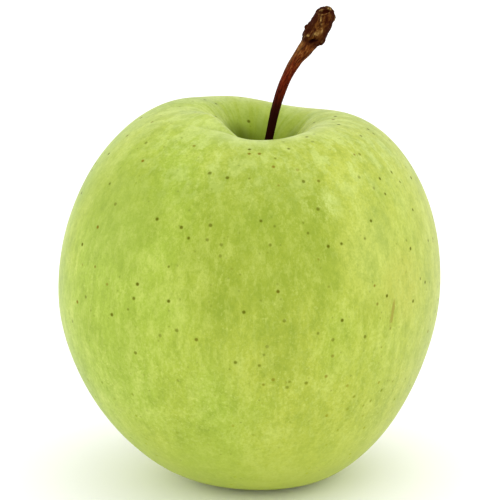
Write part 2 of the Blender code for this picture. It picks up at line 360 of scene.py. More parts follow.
def folds_at(turn, radius):
    """How deep the cavity's folds and pleats are here."""
    depth = 0.0
    for fold_turn, fold_depth, lean in FOLDS:
        middle = fold_turn + lean * (radius - FOLD_RADIUS)
        depth += fold_depth * exp(FOLD_SHARPNESS * (cos(turn - middle) - 1))
    around = Vector((cos(turn) * PLEAT_RATE, sin(turn) * PLEAT_RATE, PLEAT_LEVEL))
    return depth + PLEAT_DEPTH * noise.noise(around)


def groove_share(point):
    """How much of a groove is here, from 0 to 1."""
    deepest = 0.0
    if point.z < LIFT_FROM_HEIGHT or hypot(point.x, point.y) > 2 * LIFT_FREE_RADIUS:
        return deepest
    place = point.xy / MM
    for groove in GROOVES:
        for (x, y, share), (next_x, next_y, next_share) in zip(groove, groove[1:]):
            start, reach = Vector((x, y)), Vector((next_x - x, next_y - y))
            along = min(max((place - start).dot(reach) / reach.length_squared, 0.0), 1.0)
            gap = (place - start - reach * along).length * MM
            deepest = max(deepest, (share + (next_share - share) * along) * hill(gap, 0, GROOVE_WIDTH))
    return deepest


def crease_shade_share(point):
    """How much painted shade the cavity's wall takes here, in its creases and grooves, from 0 to about 1."""
    radius, turn = hypot(point.x, point.y), atan2(point.y, point.x)
    if point.z < LIFT_FROM_HEIGHT:
        return 0.0
    crease_shade = max(folds_at(turn, radius), 0.0) / MM * hill(radius, CREASE_RADIUS, CREASE_SPREAD)
    return max(crease_shade, GROOVE_SHADE * groove_share(point))


def grown(point):
    """Where a point of the evenly turned fruit lies once the lobes have grown unevenly."""
    radius, turn, height = hypot(point.x, point.y), atan2(point.y, point.x), point.z
    outward = min(radius / FRUIT_RADIUS, 1.0) ** 2
    high = ease((height - LIFT_FROM_HEIGHT) / (LIFT_FULL_HEIGHT - LIFT_FROM_HEIGHT))
    lobe_lift, lobe_swell, valley = across_lobes(turn)
    swollen = radius + lobe_swell * outward
    aside = CORE_ASIDE * (1 - outward)
    lift = lobe_lift * high * ease(radius / LIFT_FREE_RADIUS)
    low = 1 - ease(height / FOOT_VALLEY_HEIGHT)
    foot = FOOT_VALLEY * valley * low * ease(radius / FOOT_RADIUS)
    fold = folds_at(turn, radius) * high * hill(radius, FOLD_RADIUS, FOLD_SPREAD)
    lip = LIP_HEIGHT * exp(LIP_SHARPNESS * (cos(turn - LIP_TURN) - 1))
    lift += lip * high * hill(radius, LIP_RADIUS, LIP_SPREAD)
    fold += GROOVE_DEPTH * high * groove_share(point)
    return Vector((aside + swollen * cos(turn), swollen * sin(turn), height + lift + foot - fold))


def make_skin(material):
    """The fruit's skin, a little uneven, standing flat on its feet. Also gives the way to its middle."""
    bm = spun(fruit_profile(), SKIN_SIDES)
    crease_shades = [crease_shade_share(vertex.co) for vertex in bm.verts]
    for vertex in bm.verts:
        vertex.co = grown(vertex.co)
    lowest = min(vertex.co.z for vertex in bm.verts)
    xs = [vertex.co.x for vertex in bm.verts]
    ys = [vertex.co.y for vertex in bm.verts]
    to_middle = Vector((-(min(xs) + max(xs)) / 2, -(min(ys) + max(ys)) / 2, 0))
    bmesh.ops.translate(bm, verts=bm.verts, vec=to_middle - Vector((0, 0, lowest + FLAT_OF_FOOT)))
    bm.normal_update()
    moves = [(noise.noise(vertex.co / UNEVEN_WIDTH) - 1) * UNEVEN / 2 - SKIN_INSET for vertex in bm.verts]
    for vertex, move in zip(bm.verts, moves):
        vertex.co += vertex.normal * move * ease(vertex.co.z / FOOT_VALLEY_HEIGHT)
        vertex.co.z = max(vertex.co.z, 0.0)
    skin = finished_piece("apple_skin", bm, material)
    crease_shade = skin.data.attributes.new("crease_shade", "FLOAT", "POINT")
    crease_shade.data.foreach_set("value", crease_shades)
    return skin, to_middle


# Stem

def stem_line():
    """Places and radii along the stem's middle line, from its foot in the cavity."""
    knots = [Vector((x, y, z)) * MM for x, y, z, _ in STEM_ROUTE]
    radii = [radius * MM for *_, radius in STEM_ROUTE]
    before = [knots[0], *knots[:-1]]
    after = [*knots[1:], knots[-1]]
    slopes = [(ahead - behind) / SLOPE_PART for behind, ahead in zip(before, after)]
    places, widths = [], []
    for index in range(len(knots) - 1):
        start, end = knots[index], knots[index + 1]
        run = interpolate_bezier(start, start + slopes[index], end - slopes[index + 1], end, ROUTE_STEPS + 1)
        for step, place in enumerate(run[:-1]):
            share = ease(step / ROUTE_STEPS)
            places.append(place)
            widths.append(radii[index] + (radii[index + 1] - radii[index]) * share)
    return places, widths


def ring_place(place, ahead, radius):
    """The matrix that puts a unit circle across the stem here, with its Y axis kept towards the back."""
    across = Vector((0, 1, 0)).cross(ahead).normalized()
    back = ahead.cross(across).normalized()
    turned = Matrix((across, back, ahead)).transposed().to_4x4()
    return Matrix.Translation(place) @ turned @ Matrix.Diagonal((radius, radius, radius, 1))


def shank_mesh(bm):
    """Extrudes a ring along the stem's line and closes both ends."""
    places, widths = stem_line()
    matrices = []
    for index, (place, radius) in enumerate(zip(places, widths)):
        behind, ahead = places[max(index - 1, 0)], places[min(index + 1, len(places) - 1)]
        matrices.append(ring_place(place, (ahead - behind).normalized(), radius))
    ring = bmesh.ops.create_circle(bm, cap_ends=False, segments=SHANK_SIDES, radius=1, matrix=matrices[0])
    edges = list({edge for vertex in ring["verts"] for edge in vertex.link_edges})
    bmesh.ops.holes_fill(bm, edges=edges, sides=0)
    for last, following in zip(matrices, matrices[1:]):
        made = bmesh.ops.extrude_edge_only(bm, edges=edges)["geom"]
        verts = [item for item in made if isinstance(item, bmesh.types.BMVert)]
        edges = [item for item in made if isinstance(item, bmesh.types.BMEdge)]
        bmesh.ops.transform(bm, matrix=following @ last.inverted(), verts=verts)
    bmesh.ops.contextual_create(bm, geom=edges)
    bmesh.ops.recalc_face_normals(bm, faces=bm.faces)


def head_profile():
    """The half outline of the stem's head, from its rounded tip down to its foot."""
    tip, top = HEAD_LENGTH, TOP_ALONG * HEAD_LENGTH
    waist, bulge, foot = WAIST_ALONG * HEAD_LENGTH, BULGE_ALONG * HEAD_LENGTH, 0.0
    spans = (
        ((0, tip), (TIP_FULL * HEAD_RADIUS, tip), (HEAD_RADIUS, top + TOP_ROUND * HEAD_LENGTH),
         (HEAD_RADIUS, top)),
        ((HEAD_RADIUS, top), (HEAD_RADIUS, waist), (HEAD_WAIST, waist), (HEAD_RADIUS, bulge)),
        ((HEAD_RADIUS, bulge), (HEAD_RADIUS, FOOT_ALONG * HEAD_LENGTH), (FOOT_FULL * HEAD_RADIUS, foot),
         (0, foot)),
    )
    return smooth_run(spans, (HEAD_STEPS, HEAD_STEPS, HEAD_STEPS))


def head_place():
    """The matrix from the head's own axes, its foot at the origin and its front at -Y, to its place."""
    ahead = (HEAD_TIP - HEAD_FOOT).normalized()
    across = Vector((0, 1, 0)).cross(ahead).normalized()
    back = ahead.cross(across)
    return Matrix.Translation(HEAD_FOOT) @ Matrix((across, back, ahead)).transposed().to_4x4()


def joined(bm, other):
    """Adds the faces of one bmesh to another."""
    spare = bpy.data.meshes.new("spare")
    other.to_mesh(spare)
    other.free()
    bm.from_mesh(spare)
    bpy.data.meshes.remove(spare)


def grown_together(bm, grain):
    """One skin round everything in the bmesh, with faces of about this size."""
    rough = bpy.data.meshes.new("rough_stem")
    bm.to_mesh(rough)
    bm.free()
    helper = bpy.data.objects.new("rough_stem", rough)
    bpy.context.scene.collection.objects.link(helper)
    merge = helper.modifiers.new("merge", "REMESH")
    merge.mode = "VOXEL"
    merge.voxel_size = grain
    merge.adaptivity = 0.0
    bpy.context.view_layer.update()
    whole = bpy.data.meshes.new_from_object(helper.evaluated_get(bpy.context.evaluated_depsgraph_get()))
    bpy.data.objects.remove(helper, do_unlink=True)
    bm = bmesh.new()
    bm.from_mesh(whole)
    bpy.data.meshes.remove(whole)
    for _ in range(SMOOTHINGS):
        bmesh.ops.smooth_vert(bm, verts=bm.verts, factor=0.5, use_axis_x=True, use_axis_y=True,
                              use_axis_z=True)
    bm.normal_update()
    return bm


def unbent_places(bm):
    """Each vertex of the stem as if the stem were straight: across, back and along, in metres."""
    places, _ = stem_line()
    last = len(STEM_ROUTE) - 2
    shank = places[:last * ROUTE_STEPS]
    reach = HEAD_TIP - shank[-1]
    line = shank + [shank[-1] + reach * (step / HEAD_MARKS) for step in range(1, HEAD_MARKS + 1)]
    travelled = [0.0]
    for behind, ahead in zip(line, line[1:]):
        travelled.append(travelled[-1] + (ahead - behind).length)
    tree = kdtree.KDTree(len(line))
    for index, place in enumerate(line):
        tree.insert(place, index)
    tree.balance()
    unbent = []
    for vertex in bm.verts:
        _, index, _ = tree.find(vertex.co)
        ahead = (line[min(index + 1, len(line) - 1)] - line[max(index - 1, 0)]).normalized()
        across = Vector((0, 1, 0)).cross(ahead).normalized()
        back = ahead.cross(across).normalized()
        offset = vertex.co - line[index]
        unbent.append(Vector((offset.dot(across), offset.dot(back), travelled[index] + offset.dot(ahead))))
    return unbent


def form_share(share, turn, form):
    """How much of a rounded form of the head is at this share of its length and this turn."""
    middle, half_turn, along, half_length, lean = form
    return hill(share - lean * (turn - middle), along, half_length) * hill(turn, middle, half_turn)


def carved_head(place):
    """How far a place on the head's own axes stands out, and the signs that its colours follow there."""
    share = place.z / HEAD_LENGTH
    turn = atan2(place.x, -place.y)
    on_head = ease((share - HEAD_FROM) / HEAD_FADE)
    level = share - SCAR_ALONG - SCAR_LEAN * (turn - SCAR_TURN)
    front = hypot(level / SCAR_HALF_LENGTH, (turn - SCAR_TURN) / SCAR_HALF_TURN)
    scar = ease((SCAR_REACH - front) / SCAR_FADE)
    rim = hill(front, RIM_REACH, RIM_WIDTH)
    cleft = form_share(share, turn, CLEFT)
    collar = form_share(share, turn, COLLAR)
    spine = hill(turn, SPINE_TURN + SPINE_LEAN * (share - SPINE_ALONG), SPINE_HALF_TURN)
    spine *= ease((share - SPINE_FROM) / SPINE_FADE) * ease((SPINE_TO - share) / SPINE_FADE)
    rough = noise.fractal(Vector((place.x, place.y, place.z * BARK_STRETCH)) / BARK_WIDTH, *BARK_NOISE)
    lumps = noise.noise(place / LUMP_WIDTH)
    stand = -SCAR_DEPTH * scar + RIM_HEIGHT * rim - CLEFT_DEPTH * cleft + SPINE_HEIGHT * spine
    stand += COLLAR_HEIGHT * collar + KNOT_DEPTH * (rough + lumps) * (1 - SCAR_SMOOTH * scar)
    stand -= TIP_TRIM * ease((share - TIP_TRIM_FROM) / (1 - TIP_TRIM_FROM))
    shaved = hill(turn, -pi / 2, SHAVED_HALF_TURN) * ease((share - SHAVED_FROM) / SHAVED_FADE)
    stand += LEFT_KNOB_HEIGHT * form_share(share, turn, LEFT_KNOB) - SHAVED_DEPTH * shaved
    # Painted highlights along the right edge and over the tip, laid on in tan with the wear
    highlit = form_share(share, turn, HIGHLIT_EDGE) + ease((share - HIGHLIT_TIP_FROM) / HIGHLIT_TIP_FADE)
    knob = form_share(share, turn, RIGHT_KNOB)
    broken = 0.45 + 0.55 * ease(0.5 + 1.2 * noise.noise(place / BREAK_WIDTH))
    wear_and_highlight = RIM_WORN * rim + SPINE_WORN * spine + COLLAR_WORN * collar
    wear_and_highlight = broken * (wear_and_highlight + HIGHLIT_TAN * highlit + KNOB_WORN * knob) + BARK_WORN * rough - CLEFT_SHADE_WEIGHT * cleft
    # The scar's own hollow, with painted shade in the cleft and in the bark's hollows
    hollow = min(scar + cleft + ease(-rough - 0.1) * 0.5, 1.0)
    return stand * on_head, on_head, hollow, wear_and_highlight


def make_stem(material, to_middle):
    """Shank and head grown together, with fibres, bark ridges, a hollow scar and a cleft."""
    bm = bmesh.new()
    shank_mesh(bm)
    on_head = head_place()
    head = spun(head_profile(), HEAD_SIDES)
    bmesh.ops.transform(head, matrix=on_head @ Matrix.Diagonal((1, HEAD_FLATTENED, 1, 1)), verts=head.verts)
    joined(bm, head)
    for turn, share, radius in BUDS:
        reach = HEAD_RADIUS - BUD_SUNK * radius
        bud = Vector((sin(turn) * reach, -cos(turn) * reach * HEAD_FLATTENED, share * HEAD_LENGTH))
        bud_place = on_head @ Matrix.Translation(bud)
        bmesh.ops.create_icosphere(bm, subdivisions=3, radius=radius, matrix=bud_place)
    bm = grown_together(bm, STEM_GRAIN)
    unbent = unbent_places(bm)
    to_head = on_head.inverted()
    signs = []
    moves = []
    for vertex, straight in zip(bm.verts, unbent):
        turn = atan2(straight.y, straight.x)
        stand, headed, hollow, wear_and_highlight = carved_head(to_head @ vertex.co)
        strand = Vector((cos(turn) * FIBRE_RATE, sin(turn) * FIBRE_RATE, straight.z / FIBRE_LENGTH))
        pit = Vector((straight.x, straight.y, straight.z * PIT_STRETCH)) / PIT_WIDTH
        fibre = noise.fractal(strand, *FIBRE_NOISE) + PIT_SHARE * noise.noise(pit)
        moves.append(vertex.normal * (stand + FIBRE_DEPTH * fibre * (1 - FIBRE_LOST * headed)))
        signs.append((headed, hollow, wear_and_highlight))
    for vertex, move in zip(bm.verts, moves):
        vertex.co += move
    bmesh.ops.translate(bm, verts=bm.verts, vec=to_middle)
    stem = finished_piece("stem_bark", bm, material)
    straight_values = stem.data.attributes.new("unbent", "FLOAT_VECTOR", "POINT")
    straight_values.data.foreach_set("vector", [part / MM for place in unbent for part in place])
    for column, name in enumerate(("headed", "hollow", "wear_and_highlight")):
        values = stem.data.attributes.new(name, "FLOAT", "POINT")
        values.data.foreach_set("value", [sign[column] for sign in signs])
    return stem


# Calyx

def sepal(bm, index):
    """One dried sepal: a narrow leaf that leaves the cup, bends down and curls its tip."""
    made = bmesh.ops.create_grid(bm, x_segments=SEPAL_COLUMNS, y_segments=SEPAL_ROWS, size=0.5)["verts"]
    turn = 2 * pi * index / SEPAL_COUNT + SEPAL_ASTRAY * noise.noise((index * 3.7, 0, 0))
    corners = [Vector((radius, 0, drop)) * MM for radius, drop in SEPAL_PATH]
    path = interpolate_bezier(*corners, SEPAL_ROWS + 1)
    for vertex in made:
        side, share = 2 * vertex.co.x, min(max(vertex.co.y + 0.5, 0.0), 1.0)
        step = min(int(share * SEPAL_ROWS), SEPAL_ROWS - 1)
        place = path[step].lerp(path[step + 1], share * SEPAL_ROWS - step)
        shoulder = sin(pi * min(share * SEPAL_SHOULDER, 1.0))
        taper = (1 - share) ** SEPAL_TAPER * (SEPAL_NECK + (1 - SEPAL_NECK) * shoulder)
        ripple = SEPAL_RIPPLE * noise.noise((side * 1.3 + index * 5.1, share * 4.0, 0.7))
        cupped = SEPAL_CUPPED * (side * side) * share
        across = side * SEPAL_WIDTH / 2 * taper
        local = Vector((place.x + ripple - cupped, across, place.z + 0.5 * ripple))
        vertex.co = Matrix.Rotation(turn, 3, "Z") @ local
    bmesh.ops.remove_doubles(bm, verts=made, dist=0.01 * MM)


def make_calyx(material, to_middle):
    """Five dried sepals round a tuft of dried stamens."""
    bm = bmesh.new()
    for index in range(SEPAL_COUNT):
        sepal(bm, index)
    bmesh.ops.recalc_face_normals(bm, faces=bm.faces)
    bmesh.ops.solidify(bm, geom=bm.faces[:], thickness=SEPAL_THICKNESS)
    for index in range(STAMEN_COUNT):
        turn = 2 * pi * index / STAMEN_COUNT
        lean = radians(10 + 14 * noise.noise((index * 2.3, 1.0, 0)))
        reach = (0.55 + 0.35 * noise.noise((index * 1.7, 0, 2.0))) * MM
        length = STAMEN_LENGTH * (1 + 0.25 * noise.noise((index * 4.1, 0, 0)))
        place = Matrix.Rotation(turn, 4, "Z") @ Matrix.Translation((reach, 0, -0.2 * MM))
        place = place @ Matrix.Rotation(pi - lean, 4, "Y") @ Matrix.Translation((0, 0, length / 2))
        bmesh.ops.create_cone(bm, cap_ends=True, segments=STAMEN_SIDES, radius1=STAMEN_FOOT,
                              radius2=STAMEN_END, depth=length, matrix=place)
        tip = place @ Matrix.Translation((0, 0, length / 2))
        bmesh.ops.create_icosphere(bm, subdivisions=1, radius=STAMEN_KNOB, matrix=tip)
    cup = Matrix.Translation((0, 0, -CUP_DEPTH / 2))
    bmesh.ops.create_cone(bm, cap_ends=True, segments=CUP_SIDES, radius1=CUP_LOW, radius2=CUP_HIGH,
                          depth=CUP_DEPTH, matrix=cup)
    bmesh.ops.translate(bm, verts=bm.verts, vec=to_middle + Vector((CORE_ASIDE, 0, CALYX_TOP)))
    return finished_piece("dried_calyx", bm, material)


# Materials

def feed(tree, socket, value):
    """Sets a socket to a value, or links it to another node's output."""
    if isinstance(value, bpy.types.NodeSocket):
        tree.links.new(value, socket)
    else:
        socket.default_value = value


def millimetres(tree):
    """Object coordinates in millimetres."""
    source = tree.nodes.new("ShaderNodeTexCoord")
    sized = tree.nodes.new("ShaderNodeMapping")
    sized.inputs["Scale"].default_value = (1000, 1000, 1000)
    tree.links.new(source.outputs["Object"], sized.inputs["Vector"])
    return sized.outputs["Vector"]


def clouds(tree, place, width, detail=2.0, roughness=0.5, distortion=0.0):
    """Soft noise whose features are about this wide."""
    made = tree.nodes.new("ShaderNodeTexNoise")
    feed(tree, made.inputs["Vector"], place)
    made.inputs["Scale"].default_value = 1 / width
    made.inputs["Detail"].default_value = detail
    made.inputs["Roughness"].default_value = roughness
    made.inputs["Distortion"].default_value = distortion
    return made.outputs["Fac"]


def step_up(tree, value, low, high, smooth=True):
    """0 below low, 1 above high, and an even or smooth rise between. High may be below low."""
    made = tree.nodes.new("ShaderNodeMapRange")
    made.interpolation_type = "SMOOTHSTEP" if smooth else "LINEAR"
    made.clamp = True
    feed(tree, made.inputs["Value"], value)
    made.inputs["From Min"].default_value = low
    made.inputs["From Max"].default_value = high
    return made.outputs["Result"]


def sums(tree, operation, *values):
    """A Math node, or a chain of them, over two or more values."""
    result = values[0]
    for value in values[1:]:
        made = tree.nodes.new("ShaderNodeMath")
        made.operation = operation
        feed(tree, made.inputs[0], result)
        feed(tree, made.inputs[1], value)
        result = made.outputs[0]
    return result


def tint(tree, share, under, over):
    """One colour over another by this share."""
    made = tree.nodes.new("ShaderNodeMix")
    made.data_type = "RGBA"
    made.clamp_factor = True
    feed(tree, made.inputs[0], share)
    feed(tree, made.inputs[6], under)
    feed(tree, made.inputs[7], over)
    return made.outputs[2]


def washed(tree, colour, over, *shares):
    """This colour with another laid over it, by the product of these shares."""
    return tint(tree, sums(tree, "MULTIPLY", *shares), colour, over)


def relief(tree, height, distance, strength=1.0):
    """A bump as deep as this distance in metres."""
    made = tree.nodes.new("ShaderNodeBump")
    made.inputs["Strength"].default_value = strength
    made.inputs["Distance"].default_value = distance
    feed(tree, made.inputs["Height"], height)
    return made.outputs["Normal"]


def read_value(tree, name, output):
    """A value that the mesh holds at each of its points."""
    source = tree.nodes.new("ShaderNodeAttribute")
    source.attribute_name = name
    return source.outputs[output]


def parted(tree, vector):
    """The three parts of a vector or colour."""
    made = tree.nodes.new("ShaderNodeSeparateXYZ")
    tree.links.new(vector, made.inputs[0])
    return made.outputs["X"], made.outputs["Y"], made.outputs["Z"]


def drawn_out(tree, place, share):
    """Coordinates whose height counts only by this share, so that a pattern on them is drawn out along Z."""
    made = tree.nodes.new("ShaderNodeMapping")
    tree.links.new(place, made.inputs["Vector"])
    made.inputs["Scale"].default_value = (1, 1, share)
    return made.outputs["Vector"]


def vector_maths(tree, operation, vector):
    """A Vector Math node over this vector."""
    made = tree.nodes.new("ShaderNodeVectorMath")
    made.operation = operation
    tree.links.new(vector, made.inputs[0])
    return made


def new_material(name):
    """A material with its node tree and its main shader."""
    material = bpy.data.materials.new(name)
    material.use_nodes = True
    return material, material.node_tree, material.node_tree.nodes["Principled BSDF"]


# Skin's material

LEAF_GREEN = (0.336, 0.447, 0.043, 1)
RIPE_GREEN = (0.410, 0.470, 0.048, 1)
SHADE_GREEN = (0.215, 0.300, 0.016, 1)
LIGHT_GREEN = (0.530, 0.605, 0.130, 1)
# Pale green of the bloom, also laid on as painted sheen and painted highlights
PALE_BLOOM_AND_SHEEN = (0.550, 0.650, 0.190, 1)
# Darker green of the painted shade over the middle of the front
FRONT_SHADE_GREEN = (0.275, 0.352, 0.022, 1)
WARM_YELLOW = (0.420, 0.435, 0.055, 1)
FOOT_GREEN = (0.430, 0.510, 0.055, 1)
# Lighter, yellower green of the painted light near the floor
PAINTED_LIGHT_GREEN = (0.560, 0.650, 0.080, 1)
DOT_OLIVE = (0.105, 0.115, 0.002, 1)
DOT_RUSSET = (0.200, 0.145, 0.008, 1)
# Darker green of the cavity, partly its own colour and partly painted shade
CAVITY_AND_SHADE_GREEN = (0.200, 0.285, 0.008, 1)
# Painted shade deep in the cavity
DEEP_SHADE_GREEN = (0.080, 0.110, 0.004, 1)
# Painted shade in the cavity's creases and the stem's shadow
CREASE_SHADE_GREEN = (0.105, 0.160, 0.003, 1)
BASIN_RUSSET = (0.330, 0.300, 0.080, 1)
SCRATCH_TAN = (0.285, 0.258, 0.016, 1)

# Marks on the skin, some of them painted shade or painted highlights: the middle and the half sizes of each
# in millimetres, and its tilt where it has one
# Painted shade over the middle of the front
FRONT_SHADE = ((1.0, -34.0, 60.0), (16.0, 30.0, 25.0))
# Painted sheen on the right of the body
PAINTED_SHEEN_SPOT = ((24.5, -27.0, 55.0), (8.0, 12.0, 10.0))
WARM_SPOT = ((30.0, -21.0, 47.0), (6.0, 9.0, 8.0))
# Darker green on the left shoulder
DARKER_LEFT_SPOT = ((-25.0, -20.0, 64.0), (11.0, 16.0, 11.0))
STEM_SHADE = ((2.6, 4.0, 73.0), (3.0, 6.0, 6.0))
# Painted highlight along the ridge of the right shoulder
RIDGE_HIGHLIGHT = ((13.5, -28.0, 65.8), (5.0, 6.0, 3.6), radians(35))
SCRATCH = ((28.3, -24.5, 42.3), (0.42, 3.0, 3.3), radians(9))

# Dots and specks: the spacing, and the radii between which each fades, in millimetres
DOTS = (3.05, 0.53, 0.20)
SPECKS = (2.0, 0.30, 0.12)

# The width, detail and roughness of each pattern, in millimetres except for those drawn down the flank
PATTERNS = {
    "ripe": (24, 2), "mottle": (9, 7, 0.9), "strokes": (1.2, 3, 0.7), "blots": (2.2, 5, 0.8),
    "flecks": (0.8, 3, 0.7), "fleck_patches": (8, 3), "grain": (0.55, 2, 0.6), "torn": (0.7, 3, 0.6),
    "pores": (0.5, 3, 0.6),
    "front_shade_down": (0.30, 5, 0.65), "streaks_down": (0.24, 3, 0.6), "bloom_down": (0.12, 5, 0.7),
    "strands": (0.20, 4, 0.7), "towards_front": (1.1, 4, 0.75), "bark": (0.60, 6, 0.75),
    "flakes": (0.34, 3, 0.7), "veins": (0.35, 4, 0.65),
}

# The two values of a pattern between which a layer fades in
FADES = {
    "ripe": (0.30, 0.68), "front_shade": (1.85, 1.15), "light": (0.50, 0.64), "shade": (0.50, 0.36),
    "pale": (1.3, 0.3), "warm": (1.3, 0.4), "streaks": (0.48, 0.66), "bloom": (0.45, 0.60),
    "strokes": (0.51, 0.60), "blots": (0.50, 0.42), "flecks": (0.50, 0.70), "fleck_patches": (0.42, 0.62),
    "grain": (0.52, 0.36), "ridge_highlight": (1.2, 0.3), "ridge_highlight_patches": (0.42, 0.56), "darker_left": (1.4, 0.3),
    "crease_shades": (0.12, 0.85), "stem_shade": (1.2, 0.3), "scratch": (1.7, 1.0), "russet_dots": (0.75, 0.9),
    "dots": (-0.6, 0.6),
}

# Zones of the skin: the two places in millimetres between which each fades in
HEIGHTS = {"shoulder": (60, 73), "high_up": (45, 60), "lower_half": (60, 25), "foot": (24, 3),
           "painted_light_near_floor": (7, 1), "basin": (20, 10), "dots": (2, 50)}
RADII = {"lip_outside": (21, 15), "lip_inside": (9, 12), "back_wall_shade": (20, 11), "cavity": (12.5, 4),
         "deep": (7.4, 5.0), "basin": (9, 3)}
ACROSS = {"past_left": (-42, -4), "right_of_stem": (-4, 3), "past_left_wall": (-7.5, -1.5)}
BACK = {"front_lip": (-5, -11), "back_wall_shade": (2, 8)}

# How strongly each layer covers the skin
COVER = {
    "front_shade": 0.8, "light": 0.58, "shade": 0.55, "pale": 0.20, "warm": 0.5, "streaks": 0.22, "bloom": 0.50,
    "strokes": 0.20, "blots": 0.24, "flecks": 0.30, "grain": 0.22, "ridge_highlight": 0.65, "darker_left": 0.40,
    "foot": 0.6, "painted_light_near_floor": 0.6, "lip": 0.30, "back_wall_shade": 0.55, "cavity": 0.85, "deep": 0.85,
    "crease_shades": 0.6, "stem_shade": 0.35, "basin": 0.6, "scratch": 0.85, "dots": 0.95, "specks": 0.35,
}
RIPER_PER_MM = 0.006
# How ragged the painted front shade is, and how much it holds back the light layers under it
FRONT_SHADE_RAGGED = 1.3
FRONT_SHADE_DULLS = 0.5
SCRATCH_RAGGED = 1.1
MOTTLE_DRAWN_OUT = 0.55
STROKES_DRAWN_OUT = 0.28
FLANK_RATE = 0.019
WAX_ROUGHNESS = 0.42
WAX_SHINE = 0.2
SHINE_LOST_IN_CAVITY = 0.85
PORE_DEPTH = 0.02 * MM


def near_place(tree, place, middle, half_sizes, turn=0.0):
    """How far a place lies from a marked one, counted in half sizes along X, Y and Z."""
    moved = tree.nodes.new("ShaderNodeMapping")
    moved.vector_type = "TEXTURE"
    moved.inputs["Location"].default_value = middle
    moved.inputs["Rotation"].default_value = (0, turn, 0)
    moved.inputs["Scale"].default_value = half_sizes
    tree.links.new(place, moved.inputs["Vector"])
    return vector_maths(tree, "LENGTH", moved.outputs["Vector"]).outputs["Value"]


def down_the_flank(tree, place, height):
    """Coordinates that change with the turn about the core and only slowly with height."""
    flat = vector_maths(tree, "MULTIPLY", place)
    flat.inputs[1].default_value = (1, 1, 0)
    radius = vector_maths(tree, "LENGTH", flat.outputs["Vector"]).outputs["Value"]
    across, back, _ = parted(tree, vector_maths(tree, "NORMALIZE", flat.outputs["Vector"]).outputs["Vector"])
    stretched = tree.nodes.new("ShaderNodeCombineXYZ")
    tree.links.new(across, stretched.inputs["X"])
    tree.links.new(back, stretched.inputs["Y"])
    along = sums(tree, "MULTIPLY", sums(tree, "SUBTRACT", height, radius), FLANK_RATE)
    tree.links.new(along, stretched.inputs["Z"])
    return stretched.outputs["Vector"], radius


def lenticels(tree, place, spacing, outer, inner):
    """Round dots where the skin cuts scattered points, and two numbers that differ from dot to dot."""
    cells = tree.nodes.new("ShaderNodeTexVoronoi")
    cells.feature = "F1"
    tree.links.new(place, cells.inputs["Vector"])
    cells.inputs["Scale"].default_value = 1 / spacing
    cells.inputs["Randomness"].default_value = 1.0
    reach = sums(tree, "MULTIPLY", cells.outputs["Distance"], spacing)
    strength, browning, _ = parted(tree, cells.outputs["Color"])
    return step_up(tree, reach, outer, inner), strength, browning


def ripening(tree, place, down, across, mottle):
    """The ground: leaf green that ripens to the right, with painted shade over the middle of the front and
    mottling. Also gives what is left of the light layers under that painted shade."""
    ripe = sums(tree, "MULTIPLY", across, RIPER_PER_MM)
    ripe = sums(tree, "ADD", ripe, clouds(tree, place, *PATTERNS["ripe"]))
    colour = tint(tree, step_up(tree, ripe, *FADES["ripe"]), LEAF_GREEN, RIPE_GREEN)
    # Painted shade over the middle of the front, ragged down the flank
    ragged = sums(tree, "MULTIPLY", clouds(tree, down, *PATTERNS["front_shade_down"]), FRONT_SHADE_RAGGED)
    ragged = sums(tree, "ADD", near_place(tree, place, *FRONT_SHADE), ragged)
    front_shade = sums(tree, "MULTIPLY", step_up(tree, ragged, *FADES["front_shade"]), COVER["front_shade"])
    colour = tint(tree, front_shade, colour, FRONT_SHADE_GREEN)
    unshaded = sums(tree, "SUBTRACT", 1.0, sums(tree, "MULTIPLY", front_shade, FRONT_SHADE_DULLS))
    light = step_up(tree, mottle, *FADES["light"], smooth=False)
    colour = washed(tree, colour, LIGHT_GREEN, light, COVER["light"], unshaded)
    shade = step_up(tree, mottle, *FADES["shade"], smooth=False)
    colour = washed(tree, colour, SHADE_GREEN, shade, COVER["shade"])
    # Painted sheen on the right of the body
    pale = step_up(tree, near_place(tree, place, *PAINTED_SHEEN_SPOT), *FADES["pale"])
    colour = washed(tree, colour, PALE_BLOOM_AND_SHEEN, pale, COVER["pale"])
    warm = step_up(tree, near_place(tree, place, *WARM_SPOT), *FADES["warm"])
    return washed(tree, colour, WARM_YELLOW, warm, COVER["warm"]), unshaded


def streaks_and_flecks(tree, colour, place, down, across, height, upright, unshaded):
    """Streaks down from the stem, bloom on the shoulders, brushed strokes, blots, flecks and fine grain."""
    streaks = step_up(tree, clouds(tree, down, *PATTERNS["streaks_down"]), *FADES["streaks"])
    colour = washed(tree, colour, SHADE_GREEN, streaks, COVER["streaks"])
    bloom = step_up(tree, clouds(tree, down, *PATTERNS["bloom_down"]), *FADES["bloom"])
    shoulder = step_up(tree, height, *HEIGHTS["shoulder"])
    past_left = step_up(tree, across, *ACROSS["past_left"])
    colour = washed(tree, colour, PALE_BLOOM_AND_SHEEN, bloom, shoulder, COVER["bloom"], unshaded, past_left)
    brushed = drawn_out(tree, place, STROKES_DRAWN_OUT)
    strokes = step_up(tree, clouds(tree, brushed, *PATTERNS["strokes"]), *FADES["strokes"])
    colour = washed(tree, colour, LIGHT_GREEN, strokes, COVER["strokes"])
    blots = step_up(tree, clouds(tree, upright, *PATTERNS["blots"]), *FADES["blots"])
    colour = washed(tree, colour, SHADE_GREEN, blots, COVER["blots"])
    flecks = step_up(tree, clouds(tree, place, *PATTERNS["flecks"]), *FADES["flecks"])
    patches = step_up(tree, clouds(tree, place, *PATTERNS["fleck_patches"]), *FADES["fleck_patches"])
    patches = sums(tree, "ADD", patches, step_up(tree, height, *HEIGHTS["lower_half"]))
    colour = washed(tree, colour, LIGHT_GREEN, flecks, patches, COVER["flecks"])
    grain = step_up(tree, clouds(tree, place, *PATTERNS["grain"]), *FADES["grain"])
    return washed(tree, colour, SHADE_GREEN, grain, COVER["grain"])


